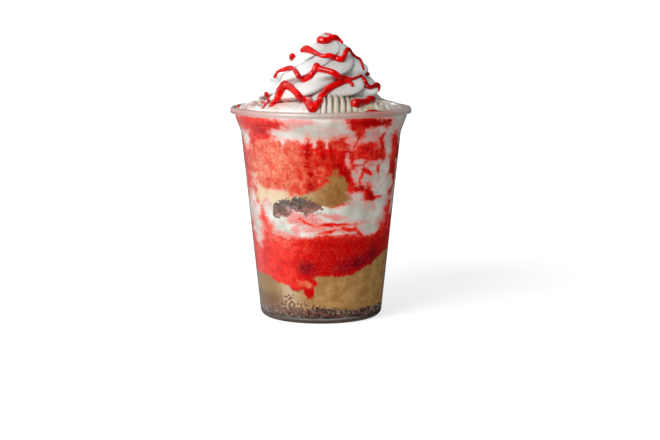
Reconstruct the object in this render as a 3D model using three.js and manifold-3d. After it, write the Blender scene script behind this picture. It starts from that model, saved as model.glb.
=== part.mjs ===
// A layered strawberry sundae in its clear cup: crumb, cheesecake, strawberry sauce and cream up to
// the rim, a bar of cheesecake on its own crumb crust set across the cup, and piped whipped cream
// with strings of sauce on top.
//
// Millimetres, +Z up. The origin is the middle of the foot, on the surface that the cup stands on.
// An azimuth is measured round +Z from the front (-Y) towards +X.

import * as THREE from "three";
import { mergeVertices } from "three/addons/utils/BufferGeometryUtils.js";
import Module from "manifold-3d";

// ---- Driving dimensions -------------------------------------------------------------------------

const RIM_RADIUS = 49;
const CUP_HEIGHT = 114;
const WALL = 0.8;
const FOOT_RADIUS = 32.8; // where the straight wall would meet the ground
const TAPER = 0.1047; // growth of the radius for each millimetre of height
const CORNER = 3.4; // outer rounding between wall and foot
const FOOT_RING_INNER = 26.6;
const FOOT_RECESS = 1.2; // how far the floor panel is pushed up
const FLOOR = 0.8;
const SHOULDER_Z = 100.4; // the stacking shoulder starts here and flares out to the neck
const NECK_Z = 108.6;
const NECK_RADIUS = 46.4;
const CURL_RADIUS = 1.7; // the rolled lip, seen in section
const CURL_DROP = 1.5; // straight skirt of the lip below its roll

const GAP = 0.3; // between pieces that touch
const FILL_TOP = 110.6; // just below the lip: the fillings end and the whipped cream starts

const PEAK_Z = 154;
const SWIRL_LOBES = 8;
const SWIRL_TURN = THREE.MathUtils.degToRad(235); // how far a ridge winds round on its way up
const SWIRL_GROOVE = 0.17; // depth of a groove, as a share of the radius there
const SWIRL_DROOP = 1.9; // how far a ridge sags over the groove below it
const SWIRL_COILS = 5; // turns of the piped rope on its way up
const SWIRL_COIL = 0.045; // how far a turn bulges, as a share of the radius there
const SWIRL_COIL_START = 4.77;
const SKIRT_RADIUS = NECK_RADIUS - WALL - GAP - 0.3;
const SKIRT_RIBS = 34;
const DRIZZLE = 1.15; // radius of a string of sauce

const CUP_SEGMENTS = 48;
const LAYER_SEGMENTS = 40;

// ---- Small helpers ------------------------------------------------------------------------------

const wasm = await Module();
wasm.setup();

const rad = THREE.MathUtils.degToRad;
const { lerp, smoothstep, clamp } = THREE.MathUtils;

// 1 at the azimuth `centre`, falling smoothly to 0 about twice `width` away. Angles in degrees.
function bump(azimuth, centre, width) {
  const away = azimuth - rad(centre);
  const shortest = Math.atan2(Math.sin(away), Math.cos(away));
  return Math.exp(-((shortest / rad(width)) ** 2));
}

// A gentle wave of a whole number of periods round the cup.
function wave(azimuth, periods, phase) {
  return Math.sin(periods * azimuth + phase);
}

function atAzimuth(azimuth, radius, z) {
  return new THREE.Vector3(radius * Math.sin(azimuth), -radius * Math.cos(azimuth), z);
}

// A closed geometry as a solid that can be joined and cut.
function solid(geometry) {
  const bare = new THREE.BufferGeometry();
  bare.setAttribute("position", geometry.getAttribute("position").clone());
  bare.setIndex(geometry.index);
  const merged = mergeVertices(bare, 1e-3);
  const corners = merged.index.array;
  const kept = [];
  for (let i = 0; i < corners.length; i += 3) {
    const [a, b, c] = corners.slice(i, i + 3);
    if (a !== b && b !== c && c !== a) kept.push(a, b, c);
  }
  const vertProperties = new Float32Array(merged.getAttribute("position").array);
  return new wasm.Manifold(
    new wasm.Mesh({ numProp: 3, vertProperties, triVerts: new Uint32Array(kept) }),
  );
}

// The largest body of a solid, without the loose scraps that a cut can leave.
function mainBody(cut) {
  return cut.decompose().reduce((a, b) => (b.volume() > a.volume() ? b : a));
}

function piece(name, shape, material) {
  const { vertProperties, triVerts, numProp } = shape.getMesh();
  const points = [];
  for (let i = 0; i < vertProperties.length; i += numProp) {
    points.push(vertProperties[i], vertProperties[i + 1], vertProperties[i + 2]);
  }
  const geometry = new THREE.BufferGeometry();
  geometry.setAttribute("position", new THREE.Float32BufferAttribute(points, 3));
  geometry.setIndex([...triVerts]);
  geometry.computeVertexNormals();
  const mesh = new THREE.Mesh(geometry, material);
  mesh.name = name;
  return mesh;
}

// Turns a lathe about Y, as three.js makes it, to stand along Z.
function uprightLathe(profile, segments) {
  const points = profile.map(([radius, z]) => new THREE.Vector2(radius, z));
  return new THREE.LatheGeometry(points, segments).rotateX(Math.PI / 2);
}

// Moves every vertex of a geometry: `place` takes a Vector3 and returns where it goes.
function reshaped(geometry, place) {
  const position = geometry.getAttribute("position");
  const point = new THREE.Vector3();
  for (let i = 0; i < position.count; i++) {
    point.fromBufferAttribute(position, i);
    position.setXYZ(i, ...place(point).toArray());
  }
  return geometry;
}

// ---- The cup ------------------------------------------------------------------------------------

function outerRadius(z) {
  if (z <= SHOULDER_Z) return FOOT_RADIUS + TAPER * z;
  const foot = FOOT_RADIUS + TAPER * SHOULDER_Z;
  return lerp(foot, NECK_RADIUS, clamp((z - SHOULDER_Z) / (NECK_Z - SHOULDER_Z), 0, 1));
}

const FLOOR_TOP = FOOT_RECESS + FLOOR;

function innerRadius(z) {
  const round = CORNER - WALL;
  const wall = outerRadius(z) - WALL;
  const below = Math.max(0, FLOOR_TOP + round - z);
  return wall - round + Math.sqrt(Math.max(0, round ** 2 - below ** 2));
}

function arc(centreR, centreZ, radius, from, to, steps) {
  return Array.from({ length: steps + 1 }, (_, i) => {
    const angle = rad(lerp(from, to, i / steps));
    return [centreR + radius * Math.cos(angle), centreZ + radius * Math.sin(angle)];
  });
}

function cupProfile() {
  const curlR = NECK_RADIUS - WALL + CURL_RADIUS;
  const curlZ = CUP_HEIGHT - CURL_RADIUS;
  const lip = RIM_RADIUS;
  const cornerR = FOOT_RADIUS + TAPER * CORNER - CORNER;
  const innerRound = CORNER - WALL;
  const innerZ = FLOOR_TOP + innerRound;
  const innerCornerR = outerRadius(innerZ) - WALL - innerRound;
  return [
    [0, FOOT_RECESS],
    [FOOT_RING_INNER - 1, FOOT_RECESS],
    [FOOT_RING_INNER, 0],
    ...arc(cornerR, CORNER, CORNER, -90, 0, 2),
    [outerRadius(SHOULDER_Z), SHOULDER_Z],
    [NECK_RADIUS, NECK_Z],
    [NECK_RADIUS, curlZ],
    ...arc(curlR, curlZ, CURL_RADIUS - WALL, 135, 0, 1),
    [lip - WALL, curlZ - CURL_DROP],
    [lip, curlZ - CURL_DROP],
    ...arc(curlR, curlZ, CURL_RADIUS, 0, 180, 4),
    [NECK_RADIUS - WALL, NECK_Z],
    [outerRadius(SHOULDER_Z) - WALL, SHOULDER_Z],
    ...arc(innerCornerR, innerZ, innerRound, 0, -90, 2),
    [0, FLOOR_TOP],
  ];
}

function makeCup(material) {
  return piece("cup", solid(uprightLathe(cupProfile(), CUP_SEGMENTS)), material);
}

// ---- The fillings: each layer runs right through the cup ----------------------------------------

const fillRadius = (z) => innerRadius(z) - GAP;
const MID_SHARE = 0.35; // share of a boundary's ups and downs that is left in the middle of the cup

const crumbTop = (a) => 7.9 + 0.5 * wave(a, 3, 1) + 0.4 * wave(a, 7, 0.4);

function cheesecakeTop(a) {
  const drips = 8.5 * bump(a, -22, 12) + 7 * bump(a, 118, 7) + 10 * bump(a, 206, 9);
  const rises = 9 * bump(a, 92, 38) + 5 * bump(a, 60, 28) + 5 * bump(a, -128, 30);
  return 25.6 + rises - drips + 0.7 * wave(a, 4, 2.2) + 0.4 * wave(a, 11, 0);
}

function sauceTop(a) {
  const rises = 4.5 * bump(a, -72, 20) + 9 * bump(a, 78, 20) + 6 * bump(a, 170, 24);
  return 47.8 + rises + 0.9 * wave(a, 5, 0.5) + 0.5 * wave(a, 13, 1.2);
}

function creamTop(a) {
  const dips = 15 * bump(a, -27, 42) + 14 * bump(a, 153, 42);
  return 87.6 - dips + 0.8 * wave(a, 6, 0.7) + 0.5 * wave(a, 11, 2);
}

function upperSauceTop(a) {
  const rises = 7 * bump(a, -66, 17) + 3 * bump(a, 128, 20);
  return 94.8 + rises + 0.8 * wave(a, 7, 0.2) + 0.5 * wave(a, 12, 1);
}

// The room inside the cup, up to where the whipped cream starts.
function bore() {
  const floor = FLOOR_TOP + GAP;
  const walls = [0, 0.8, 2.6].map((up) => [fillRadius(floor + up), floor + up]);
  const shoulder = [fillRadius(SHOULDER_Z), SHOULDER_Z];
  const neck = [NECK_Z, FILL_TOP].map((z) => [fillRadius(z), z]);
  const profile = [[0, floor], ...walls, shoulder, ...neck, [0, FILL_TOP]];
  return solid(uprightLathe(profile, LAYER_SEGMENTS));
}

// Everything under a boundary, which is given as its height at the wall for each azimuth. It starts
// as a plain drum that is wider than the cup, and the points of its top are then moved into place.
function under(boundary) {
  const middle = (boundary(0) + boundary(Math.PI / 2) + boundary(Math.PI)) / 3;
  const reach = outerRadius(middle);
  const shares = [1.12, 0.66, 0];
  const profile = [[0, 0], [shares[0], 0], ...shares.map((share) => [share, 1])];
  const drum = uprightLathe(profile, LAYER_SEGMENTS);
  return solid(reshaped(drum, (p) => {
    const share = Math.hypot(p.x, p.y);
    const azimuth = Math.atan2(p.x, -p.y);
    const kept = Math.min(1, lerp(MID_SHARE * share, 1, share ** 2));
    const top = middle + (boundary(azimuth) - middle) * kept;
    return atAzimuth(azimuth, share * reach, p.z * top);
  }));
}

// The fillings from the floor up, each from the boundary below it to the next.
function layers(room) {
  const boundaries = [crumbTop, cheesecakeTop, sauceTop, creamTop, upperSauceTop].map(under);
  const tops = [...boundaries.map((below) => room.intersect(below)), room];
  return tops.map((filled, i) => {
    return i === 0 ? filled : filled.subtract(boundaries[i - 1].translate([0, 0, GAP]));
  });
}

// ---- The bar of cheesecake on its crust, across the cup -----------------------------------------

const BAR = {
  turn: rad(-25), // azimuth of its front end
  halfWidth: 27,
  halfLength: 48, // past the wall at both ends, where the cup trims it
  bottom: 61.6,
  top: 82.6,
  squareness: 3.2,
};
const CRUST = { halfWidth: 13.5, bottom: 57.1, top: 66.6 };

// A lump with soft square corners: a sphere pushed out towards its box.
function barLump(halfWidth, bottom, top, spare, rows) {
  const ball = new THREE.SphereGeometry(1, 20, rows);
  const middle = (bottom + top) / 2;
  return reshaped(ball, (p) => {
    const size = [p.x, p.y, p.z].map((v) => Math.abs(v) ** BAR.squareness);
    const push = (size[0] + size[1] + size[2]) ** (-1 / BAR.squareness);
    const along = p.y * push;
    const side = p.x * push;
    const sag = 5.5 * Math.exp(-(((side - 0.12) / 0.3) ** 2)) * Math.max(0, p.z);
    const rough = 0.5 * Math.sin(9 * side + 4 * along) + 0.5 * Math.sin(7 * along + 3 * p.z);
    const x = side * (halfWidth + spare) + rough;
    const y = along * BAR.halfLength;
    const z = middle + p.z * push * ((top - bottom) / 2 + spare) - sag + rough * 0.6;
    return new THREE.Vector3(x, y, z).applyAxisAngle(new THREE.Vector3(0, 0, 1), BAR.turn);
  });
}

const barSolid = (spare) => solid(barLump(BAR.halfWidth, BAR.bottom, BAR.top, spare, 12));
const crustSolid = (spare) => solid(barLump(CRUST.halfWidth, CRUST.bottom, CRUST.top, spare, 8));

// ---- Pools of sauce under the rim ---------------------------------------------------------------

// azimuth and half span in degrees; height of the middle, half height and depth in millimetres
const POOLS = [
  { azimuth: -58, span: 26, z: 106.3, half: 4.6, depth: 15 },
  { azimuth: 38, span: 25, z: 105.8, half: 5, depth: 13 },
  { azimuth: 128, span: 19, z: 103, half: 3, depth: 12 },
  { azimuth: 203, span: 30, z: 105.6, half: 4.6, depth: 14 },
];

function pool({ azimuth, span, z, half, depth }, spare) {
  const ball = new THREE.SphereGeometry(1, 14, 6).rotateX(Math.PI / 2);
  return reshaped(ball, (p) => {
    const a = rad(azimuth + p.x * (span + spare * 1.5));
    const height = z + p.z * (half + spare) + 0.5 * Math.sin(6 * p.x);
    const inward = (depth + spare) * p.y;
    return atAzimuth(a, outerRadius(z) - inward, height);
  });
}

// ---- Whipped cream ------------------------------------------------------------------------------

// The ridges' outline as [radius, height above the fillings], from the foot of the swirl to its peak.
const SWIRL_OUTLINE = new THREE.SplineCurve(
  [[31.6, 3.4], [33.4, 7], [32.4, 13], [28.8, 20], [25.2, 27], [20.4, 33], [12.6, 39], [6, 43.6], [0, 46]]
    .map(([r, z]) => new THREE.Vector2(r, z)),
);
const SWIRL_FOOT = PEAK_Z - 46;

const swirlLean = (share) => 4 * share ** 3 * (1 - smoothstep(share, 0.93, 1.12)); // towards +X

const wound = (share) => SWIRL_TURN * share ** 0.8; // how far the ridges have wound round

// A slow swell outwards and a quick step back in, once a turn.
const overhang = (turn) => Math.sin(turn) - 0.3 * Math.sin(2 * turn) + 0.08 * Math.sin(3 * turn);

// The point of the swirl at an azimuth and a share of the way up its outline.
function swirlPoint(azimuth, share, proud = 0) {
  const outline = SWIRL_OUTLINE.getPoint(share);
  const across = azimuth - wound(share);
  const ridge = Math.abs(Math.sin((SWIRL_LOBES / 2) * (across + 0.09 * Math.sin(2 * across)))) ** 0.75;
  const coil = SWIRL_COIL * overhang(azimuth - 2 * Math.PI * SWIRL_COILS * share + SWIRL_COIL_START);
  const uneven = 1 + coil + 0.02 * Math.sin(3 * azimuth - 9 * share);
  const radius = outline.x * (1 - SWIRL_GROOVE * (1 - ridge)) * uneven + proud;
  const droop = SWIRL_DROOP * ridge * Math.sin(Math.PI * share);
  const at = atAzimuth(azimuth, Math.max(0, radius), SWIRL_FOOT + outline.y - droop);
  at.x += swirlLean(share);
  return at;
}

// Its columns of faces run along the ridges, six to a lobe.
function swirl() {
  const rows = 30;
  const side = (rows - 1) / rows; // the last row closes the flat bottom
  const ball = new THREE.SphereGeometry(1, SWIRL_LOBES * 6, rows).rotateX(Math.PI / 2);
  return reshaped(ball, (p) => {
    const down = Math.acos(clamp(p.z, -1, 1)) / Math.PI; // 0 at the peak, 1 at the bottom pole
    if (down > side + 1e-6) return new THREE.Vector3(0, 0, SWIRL_FOOT + 3.4);
    const share = Math.max(0, 1 - down / side);
    const at = swirlPoint(Math.atan2(p.x, -p.y) + wound(share), share);
    return down < 1e-6 ? new THREE.Vector3(at.x, 0, at.z) : at;
  });
}

function skirtTop(azimuth, share) {
  const rib = Math.sin(SKIRT_RIBS * azimuth + 3 * Math.sin(2 * azimuth)) * 0.75;
  const lumps = 0.8 * wave(azimuth, 5, 1) + 0.5 * wave(azimuth, 9, 0.3);
  const mound = 4.5 * Math.min(1, 1.4 * bump(azimuth, 24, 26)) * smoothstep(share, 0.3, 0.7);
  const crown = (6.6 + mound) * Math.sqrt(Math.max(0, 1 - share ** 4));
  return 112.2 + crown + (rib + lumps) * smoothstep(share, 0.5, 0.75) * (1 - share ** 6);
}

// The ribbed bed of cream that fills the mouth of the cup, up over the rim.
function skirt() {
  const profile = [[0, 0], [1, 0], ...[1, 0.88, 0.74, 0].map((share) => [share, 1])];
  return reshaped(uprightLathe(profile, SKIRT_RIBS * 3), (p) => {
    const share = Math.hypot(p.x, p.y);
    const azimuth = Math.atan2(p.x, -p.y);
    const bottom = FILL_TOP + GAP;
    const z = p.z > 0.5 ? skirtTop(azimuth, share) : bottom;
    return atAzimuth(azimuth, share * SKIRT_RADIUS, z);
  });
}

// Strings of sauce over the swirl, each as its turning points: [azimuth in degrees, share of the
// way up]. The same ones, turned round, cover the back.
const STRINGS = [
  [[-30, 0.85], [10, 0.82], [70, 0.88], [78, 0.78]],
  [[-47, 0.7], [-27, 0.73], [0, 0.66], [27, 0.61], [50, 0.7], [64, 0.56], [62, 0.47]],
  [[-74, 0.43], [-45, 0.52], [-21, 0.4], [-6, 0.52], [18, 0.45], [35, 0.41], [58, 0.42]],
  [[-57, 0.14], [-45, 0.34], [-27, 0.28], [-8, 0.12], [6, 0.31], [34, 0.4]],
];
const STRING_COPIES = [{ turn: 0, climb: 0 }, { turn: 172, climb: 0.02 }];

function sauceString(turns, { turn, climb }) {
  const curve = new THREE.CatmullRomCurve3(
    turns.map(([azimuth, share]) => swirlPoint(rad(azimuth + turn), share + climb, DRIZZLE * 0.3)),
  );
  const section = new THREE.Shape(arc(0, 0, DRIZZLE, 0, 288, 4).map(([x, y]) => new THREE.Vector2(x, y)));
  return new THREE.ExtrudeGeometry(section, { extrudePath: curve, steps: turns.length * 2 });
}

function makeWhippedCream(material) {
  let whole = solid(skirt()).add(solid(swirl()));
  for (const copy of STRING_COPIES) {
    for (const turns of STRINGS) whole = whole.add(solid(sauceString(turns, copy)));
  }
  return piece("whipped_cream", mainBody(whole), material);
}

// ---- Materials ----------------------------------------------------------------------------------

const matte = (color, roughness) => new THREE.MeshStandardMaterial({ color, roughness, metalness: 0 });

function makeMaterials() {
  return {
    plastic: new THREE.MeshPhysicalMaterial({
      color: 0xf4f6f6, roughness: 0.05, metalness: 0, transmission: 1, ior: 1.5, thickness: WALL,
    }),
    crumb: matte(0x5a3d2e, 0.95),
    cheesecake: matte(0xd9b878, 0.7),
    sauce: matte(0xc8150f, 0.2),
    cream: matte(0xf3ece4, 0.6),
    whipped: matte(0xfbf8f4, 0.55),
  };
}

// ---- The sundae ---------------------------------------------------------------------------------

function makeSundae() {
  const use = makeMaterials();
  const room = bore();
  const [crumb, cheesecake, sauce, cream, upperSauce, upperCream] = layers(room);
  const crustCut = crustSolid(GAP);
  const barCut = barSolid(GAP);
  const crust = crustSolid(0).intersect(room);
  const bar = barSolid(0).subtract(crustCut).intersect(room);
  const pools = POOLS.map((shape) => solid(pool(shape, 0)).intersect(room));
  const poolCuts = POOLS.map((shape) => solid(pool(shape, GAP)));

  const sundae = new THREE.Group();
  sundae.add(
    makeCup(use.plastic),
    piece("crumb_base", crumb, use.crumb),
    piece("cheesecake_lower", cheesecake, use.cheesecake),
    piece("strawberry_sauce_lower", sauce, use.sauce),
    piece("cream_lower", mainBody(cream.subtract(barCut).subtract(crustCut)), use.cream),
    piece("crumb_crust_upper", mainBody(crust), use.crumb),
    piece("cheesecake_upper", mainBody(bar), use.cheesecake),
    piece("strawberry_sauce_upper", mainBody(upperSauce.subtract(barCut)), use.sauce),
    piece("cream_upper", mainBody(poolCuts.reduce((a, b) => a.subtract(b), upperCream)), use.cream),
    ...pools.map((shape, i) => piece(`sauce_pool_${i + 1}`, mainBody(shape), use.sauce)),
    makeWhippedCream(use.whipped),
  );
  return sundae;
}

export default makeSundae();
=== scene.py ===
"""The looks of a layered strawberry sundae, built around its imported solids.

Shapes are worked out in millimetres and stored in metres. +Z is up and the origin is the middle of
the cup's foot. An azimuth is measured round +Z from the front (-Y) towards +X.
"""

import math
from functools import cached_property

import bpy
import numpy as np
from mathutils import Matrix, Vector, noise
from mathutils.bvhtree import BVHTree


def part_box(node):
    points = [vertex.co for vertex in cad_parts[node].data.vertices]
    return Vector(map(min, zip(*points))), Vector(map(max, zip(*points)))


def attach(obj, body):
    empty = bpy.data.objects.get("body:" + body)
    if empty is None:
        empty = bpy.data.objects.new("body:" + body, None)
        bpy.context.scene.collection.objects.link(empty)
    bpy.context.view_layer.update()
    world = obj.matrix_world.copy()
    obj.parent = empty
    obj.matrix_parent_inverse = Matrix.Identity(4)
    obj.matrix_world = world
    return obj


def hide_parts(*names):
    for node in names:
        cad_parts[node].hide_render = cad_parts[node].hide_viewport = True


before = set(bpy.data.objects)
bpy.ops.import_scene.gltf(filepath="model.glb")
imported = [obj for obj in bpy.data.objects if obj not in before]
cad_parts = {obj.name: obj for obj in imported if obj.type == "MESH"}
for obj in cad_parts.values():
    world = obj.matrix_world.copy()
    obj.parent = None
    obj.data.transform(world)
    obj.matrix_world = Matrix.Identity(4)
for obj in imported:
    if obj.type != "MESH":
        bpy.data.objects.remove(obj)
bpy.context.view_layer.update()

MM = 0.001
BODY = "root"

# ---- Sizes in millimetres --------------------------------------------------------------------------

RIM_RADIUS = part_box("cup")[1].x / MM
CUP_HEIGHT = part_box("cup")[1].z / MM
PEAK_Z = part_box("whipped_cream")[1].z / MM
WALL = 0.8
FOOT_RADIUS = 32.8
TAPER = 0.1047
CORNER = 3.4
FOOT_RING_INNER = 26.6
FOOT_RECESS = 1.2
FLOOR_TOP = FOOT_RECESS + 0.8
SHOULDER_Z = 100.4
NECK_Z = 108.6
NECK_RADIUS = 46.4
CURL_RADIUS = 1.7
CURL_DROP = 1.5
FILL_TOP = 110.6
INTO_WALL = 0.12  # how far the fillings reach into the wall, so that no air shows between
LAP = 0.3  # how far one filling runs on under the next

# the camera: where it stands and looks, its lens, and its picture in pixels
EYE = (4.9, -900, 179.6)
AIM = (4.9, 0, 51.6)
LENS = 90.7
SENSOR = 36
PICTURE = (660, 440)

ROUND = 288  # steps round the cup
FILL_STEP = 0.9  # height of a row of faces on a filling's side


# ---- Working with pieces ---------------------------------------------------------------------------


def deselect():
    """Nothing stays selected, so that the next operator acts on its own piece alone."""
    if bpy.context.object and bpy.context.object.mode != "OBJECT":
        bpy.ops.object.mode_set(mode="OBJECT")
    bpy.ops.object.select_all(action="DESELECT")


def pick(*pieces):
    """Selects the pieces and makes the first one active."""
    deselect()
    for piece in pieces:
        piece.select_set(True)
    bpy.context.view_layer.objects.active = pieces[0]


def named(name):
    """Names the active object and its mesh."""
    piece = bpy.context.object
    piece.name = name
    piece.data.name = name
    return piece


def metres(place):
    return tuple(c * MM for c in place)


def positions(piece):
    """The piece's vertices as rows of x, y, z in millimetres."""
    flat = np.empty(len(piece.data.vertices) * 3)
    piece.data.vertices.foreach_get("co", flat)
    return flat.reshape(-1, 3) / MM


def put(piece, points):
    """Moves the piece's vertices to those points, given in millimetres."""
    piece.data.vertices.foreach_set("co", (points * MM).ravel())
    piece.data.update()


def with_modifier(piece, kind, **settings):
    """Adds a modifier and applies it at once."""
    pick(piece)
    bpy.ops.object.modifier_add(type=kind)
    modifier = piece.modifiers[-1]
    for setting, value in settings.items():
        setattr(modifier, setting, value)
    bpy.ops.object.modifier_apply(modifier=modifier.name)
    return piece


def cut(piece, tool, operation="DIFFERENCE"):
    return with_modifier(piece, "BOOLEAN", operation=operation, object=tool, solver="MANIFOLD")


def drop(piece):
    bpy.data.objects.remove(piece)


def dressed(piece, slot, finish, *nodes):
    """Smooth shading, the finish, and the CAD nodes that the piece stands for."""
    pick(piece)
    bpy.ops.object.shade_smooth_by_angle(angle=math.radians(50))
    piece.data.materials.clear()
    piece.data.materials.append(finish.material)
    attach(piece, BODY)
    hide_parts(*nodes)
    return piece


# ---- Maths that works on numbers, on arrays and on a finish's fields alike -------------------------


class Field:
    """A value that varies over a surface. Arithmetic on it adds Math nodes beside it."""

    __array_ufunc__ = None

    def __init__(self, nodes, socket):
        self.nodes = nodes
        self.socket = socket

    def maths(self, operation, *others):
        return self.nodes.node("ShaderNodeMath", {"operation": operation}, (self, *others))

    def __add__(self, other):
        return self.maths("ADD", other)

    def __sub__(self, other):
        return self.maths("SUBTRACT", other)

    def __mul__(self, other):
        return self.maths("MULTIPLY", other)

    def __truediv__(self, other):
        return self.maths("DIVIDE", other)

    def __pow__(self, other):
        return self.maths("POWER", other)

    def __rsub__(self, other):
        return self.nodes.node("ShaderNodeMath", {"operation": "SUBTRACT"}, (other, self))

    def __neg__(self):
        return 0 - self

    def __abs__(self):
        return self.maths("ABSOLUTE")

    __radd__ = __add__
    __rmul__ = __mul__


def sine(angle):
    return angle.maths("SINE") if isinstance(angle, Field) else np.sin(angle)


def bell(distance):
    """1 at 0, falling smoothly to nothing about two units away."""
    below = -1 * (distance * distance)
    return below.maths("EXPONENT") if isinstance(below, Field) else np.exp(below)


def shortest(angle):
    """The same angle, between minus and plus half a turn."""
    if isinstance(angle, Field):
        return angle.maths("WRAP", math.pi, -math.pi)
    return (angle + math.pi) % (2 * math.pi) - math.pi


def bump(azimuth, centre, width):
    """1 at the azimuth centre, falling to 0 about twice width away. Angles in degrees."""
    return bell(shortest(azimuth - math.radians(centre)) * (1 / math.radians(width)))


def wave(azimuth, periods, phase):
    """A gentle wave of a whole number of periods round the cup."""
    return sine(azimuth * periods + phase)


def least(a, b):
    return a.maths("MINIMUM", b) if isinstance(a, Field) else np.minimum(a, b)


def most(a, b):
    return a.maths("MAXIMUM", b) if isinstance(a, Field) else np.maximum(a, b)


def ease(value, low, high):
    """0 up to low, 1 from high on, and a smooth rise between."""
    if isinstance(value, Field):
        settings = {"interpolation_type": "SMOOTHSTEP"}
        return value.nodes.node("ShaderNodeMapRange", settings, (value, low, high, 0, 1))
    share = np.clip((value - low) / (high - low), 0, 1)
    return share * share * (3 - 2 * share)


# ---- Where the layers meet: heights at the wall, in millimetres ------------------------------------


def crumb_top(a):
    return 7.9 + 0.5 * wave(a, 3, 1) + 0.4 * wave(a, 7, 0.4)


def cheesecake_top(a):
    drips = 8.5 * bump(a, -22, 12) + 7 * bump(a, 118, 7) + 10 * bump(a, 206, 9)
    rises = 9 * bump(a, 92, 38) + 5 * bump(a, 60, 28) + 5 * bump(a, -128, 30)
    return 25.6 + rises - drips + 0.7 * wave(a, 4, 2.2) + 0.4 * wave(a, 11, 0)


def sauce_top(a):
    rises = 4.5 * bump(a, -72, 20) + 9 * bump(a, 78, 20) + 6 * bump(a, 170, 24)
    return 47.8 + rises + 0.9 * wave(a, 5, 0.5) + 0.5 * wave(a, 13, 1.2)


def cream_top(a):
    dips = 15 * bump(a, -27, 42) + 14 * bump(a, 153, 42)
    return 87.6 - dips + 0.8 * wave(a, 6, 0.7) + 0.5 * wave(a, 11, 2)


def upper_sauce_top(a):
    rises = 7 * bump(a, -66, 17) + 3 * bump(a, 128, 20)
    return 94.8 + rises + 0.8 * wave(a, 7, 0.2) + 0.5 * wave(a, 12, 1)


# azimuth and half span in degrees; height of the middle, half height and depth in millimetres
POOLS = [(-58, 26, 106.3, 4.6, 15), (38, 25, 105.8, 5, 13), (128, 19, 103, 3, 12), (203, 30, 105.6, 4.6, 14)]


def outer_radius(z):
    straight = FOOT_RADIUS + TAPER * np.minimum(z, SHOULDER_Z)
    share = np.clip((z - SHOULDER_Z) / (NECK_Z - SHOULDER_Z), 0, 1)
    return straight + share * (NECK_RADIUS - FOOT_RADIUS - TAPER * SHOULDER_Z)


def inner_radius(z):
    rounding = CORNER - WALL
    below = np.clip(FLOOR_TOP + rounding - z, 0, rounding)
    return outer_radius(z) - WALL - rounding + np.sqrt(rounding**2 - below**2)


def around(azimuth, radius, z):
    """Points at those azimuths, radii and heights, as rows of x, y, z."""
    rows = np.broadcast_arrays(radius * np.sin(azimuth), -radius * np.cos(azimuth), z)
    return np.stack(rows, axis=-1)


def arc(centre_r, centre_z, radius, start, end, steps):
    angles = np.radians(np.linspace(start, end, steps + 1))
    return [(centre_r + radius * math.cos(a), centre_z + radius * math.sin(a)) for a in angles]


# ---- Finishes --------------------------------------------------------------------------------------


def linear(*rgb):
    """A colour as it is seen, 0 to 255, in the light units that shaders use."""
    return tuple(c / 255 / 12.92 if c <= 10 else ((c / 255 + 0.055) / 1.055) ** 2.4 for c in rgb)


class Nodes:
    """A tree of shader nodes, and the fields worked out in it."""

    def __init__(self, tree):
        self.tree = tree
        self.tree.nodes.clear()

    def set(self, socket, value):
        if isinstance(value, Field):
            self.tree.links.new(value.socket, socket)
        elif hasattr(socket.default_value, "__len__"):
            spare = len(socket.default_value) - len(value)
            socket.default_value = (*value, *[1] * spare)
        else:
            socket.default_value = value

    def node(self, kind, settings=None, inputs=(), output=0):
        """Adds a node. Settings come first, then its sockets by position, or by name in a dictionary."""
        made = self.tree.nodes.new(kind)
        for setting, value in (settings or {}).items():
            setattr(made, setting, value)
        named_inputs = inputs.items() if isinstance(inputs, dict) else enumerate(inputs)
        for key, value in named_inputs:
            self.set(made.inputs[key], value)
        return Field(self, made.outputs[output])

    def vector(self, operation, *inputs, output=0):
        return self.node("ShaderNodeVectorMath", {"operation": operation}, inputs, output)

    def spot(self):
        """Where a point is, in millimetres."""
        here = self.node("ShaderNodeTexCoord", output="Object")
        return self.vector("SCALE", here, (0, 0, 0), (0, 0, 0), 1000)

    def parts(self, vector):
        split = self.node("ShaderNodeSeparateXYZ", inputs=(vector,))
        outputs = split.socket.node.outputs
        return [Field(self, outputs[i]) for i in range(3)]

    def noise(self, at, size, detail=3, rough=0.5, output="Fac", stretch=(1, 1, 1)):
        """Noise whose blotches are about size millimetres across."""
        scaled = self.vector("MULTIPLY", at, tuple(s / size for s in stretch))
        inputs = {"Vector": scaled, "Scale": 1.0, "Detail": detail, "Roughness": rough}
        return self.node("ShaderNodeTexNoise", {}, inputs, output)

    def cells(self, at, size, output="Distance", feature="F1"):
        inputs = {"Vector": at, "Scale": 1 / size}
        return self.node("ShaderNodeTexVoronoi", {"feature": feature}, inputs, output)

    def mix(self, share, low, high):
        """The colour low where share is 0 and high where it is 1."""
        settings = {"data_type": "RGBA", "clamp_factor": True}
        made = self.node("ShaderNodeMix", settings, {0: share, 6: low, 7: high})
        return Field(self, made.socket.node.outputs[2])


class Pattern(Nodes):
    """A group of nodes that several finishes share."""

    def __init__(self, name, given, made):
        super().__init__(bpy.data.node_groups.new(name, "ShaderNodeTree"))
        for socket, kind in given.items():
            self.tree.interface.new_socket(socket, in_out="INPUT", socket_type=kind)
        for socket, kind in made.items():
            self.tree.interface.new_socket(socket, in_out="OUTPUT", socket_type=kind)
        entry = self.tree.nodes.new("NodeGroupInput")
        self.given = {socket: Field(self, entry.outputs[socket]) for socket in given}
        self.output = self.tree.nodes.new("NodeGroupOutput")

    def gives(self, **fields):
        for socket, field in fields.items():
            self.set(self.output.inputs[socket], field)


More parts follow.
